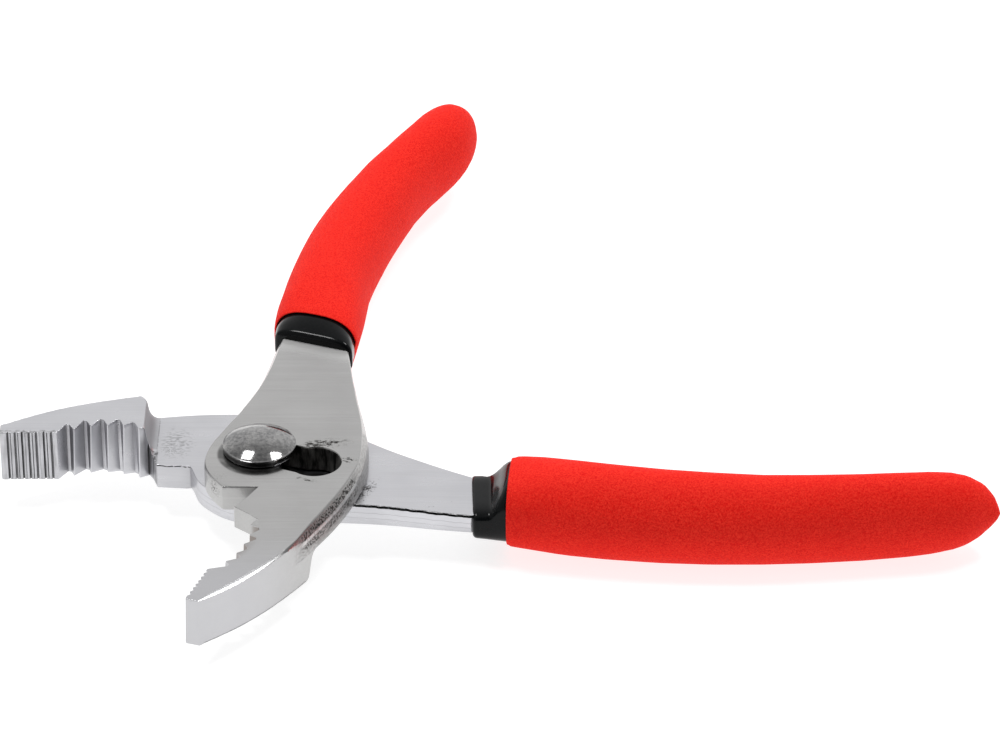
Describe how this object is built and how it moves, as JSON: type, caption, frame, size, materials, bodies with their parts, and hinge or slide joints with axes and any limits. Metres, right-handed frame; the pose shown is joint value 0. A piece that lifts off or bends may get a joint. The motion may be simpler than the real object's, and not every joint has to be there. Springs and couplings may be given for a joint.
{
  "type": "slip-joint pliers",
  "caption": "Slip-joint pliers with a slotted pivot for a narrow and a wide jaw setting, toothed jaws, wire cutter notch and red foam grips over black sleeves.",
  "frame": {"origin": "on the pivot axis, at the rear end face of the pivot bolt", "axes": "+Z along the bolt towards its domed head, +X along the handle of the pinned half, the pliers lying flat with the jaws open as drawn"},
  "size_m": [0.2002, 0.1949, 0.0238],
  "materials": {
    "steel_pinned": "satin plated forging",
    "steel_slotted": "satin plated forging",
    "pivot_steel": "polished",
    "washer_steel": "dull",
    "sleeve_black": "glossy",
    "grip_red": "matt fine foam"
  },
  "bodies": {
    "pinned_side": {"pinned_half": "steel_pinned", "pinned_sleeve": "sleeve_black", "pinned_grip": "grip_red", "pivot_bolt": "pivot_steel", "pivot_nut": "pivot_steel"},
    "washer": {"pivot_washer": "washer_steel"},
    "slotted_side": {"slotted_half": "steel_slotted", "slotted_sleeve": "sleeve_black", "slotted_grip": "grip_red"}
  },
  "joints": [
    {"name": "pivot", "type": "hinge", "parent": "pinned_side", "child": "washer", "pos_m": [0, 0, 0.0152], "axis": [0, 0, 1], "range_deg": [-68.2, 15]},
    {"name": "slot_slide", "type": "slide", "parent": "washer", "child": "slotted_side", "axis": [-0.9373, 0.3486, 0], "range_m": [0, 0.0126]}
  ]
}
